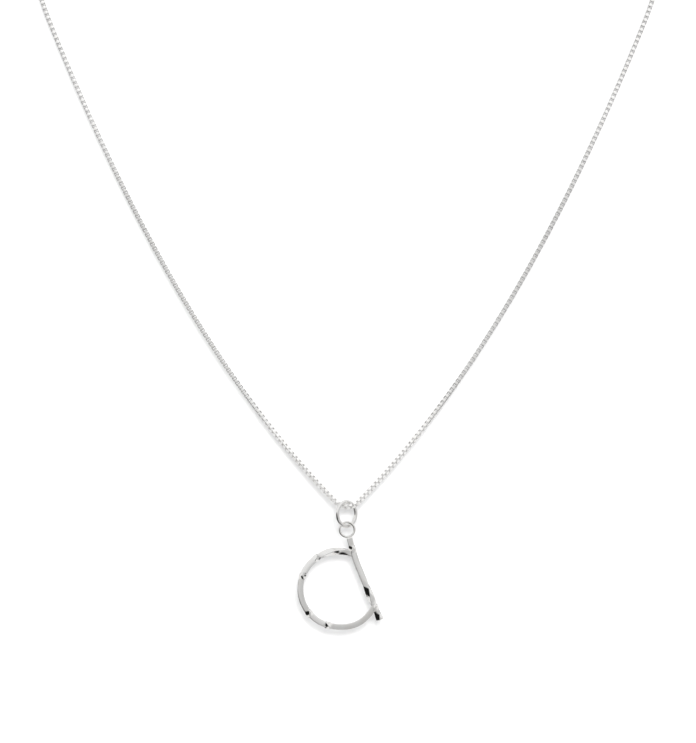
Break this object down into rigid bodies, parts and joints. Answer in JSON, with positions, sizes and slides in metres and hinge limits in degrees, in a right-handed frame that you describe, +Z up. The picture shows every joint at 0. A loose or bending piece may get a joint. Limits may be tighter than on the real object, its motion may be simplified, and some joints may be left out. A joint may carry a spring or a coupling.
{
  "type": "initial pendant on a box chain",
  "caption": "Necklace hanging in a drop shape: a fine box chain with a barrel clasp, a round jump ring, and a small round-bowled letter of twisted square wire with a soldered loop.",
  "frame": {"origin": "the top of the hanging loop, at the middle of the clasp on the chain's middle line, where the nape or a hook carries it", "axes": "+X to the right as the letter reads, +Y away from the viewer, +Z up"},
  "size_m": [0.1228, 0.0038, 0.2005],
  "materials": {
    "chain_silver": "polished silver links",
    "clasp_silver": "polished silver",
    "ring_silver": "polished silver",
    "letter_silver": "mirror polished silver"
  },
  "bodies": {
    "necklace": {"chain": "chain_silver", "clasp": "clasp_silver"},
    "bail": {"bail_ring": "ring_silver"},
    "pendant": {"letter": "letter_silver"}
  },
  "joints": [
    {"name": "ring_swing", "type": "hinge", "parent": "necklace", "child": "bail", "pos_m": [0, 0, -0.176], "axis": [1, 0, 0], "range_deg": [-25, 25]},
    {"name": "letter_sway", "type": "hinge", "parent": "bail", "child": "pendant", "pos_m": [0, 0, -0.18033], "axis": [0, 1, 0], "range_deg": [-80, 80]}
  ]
}
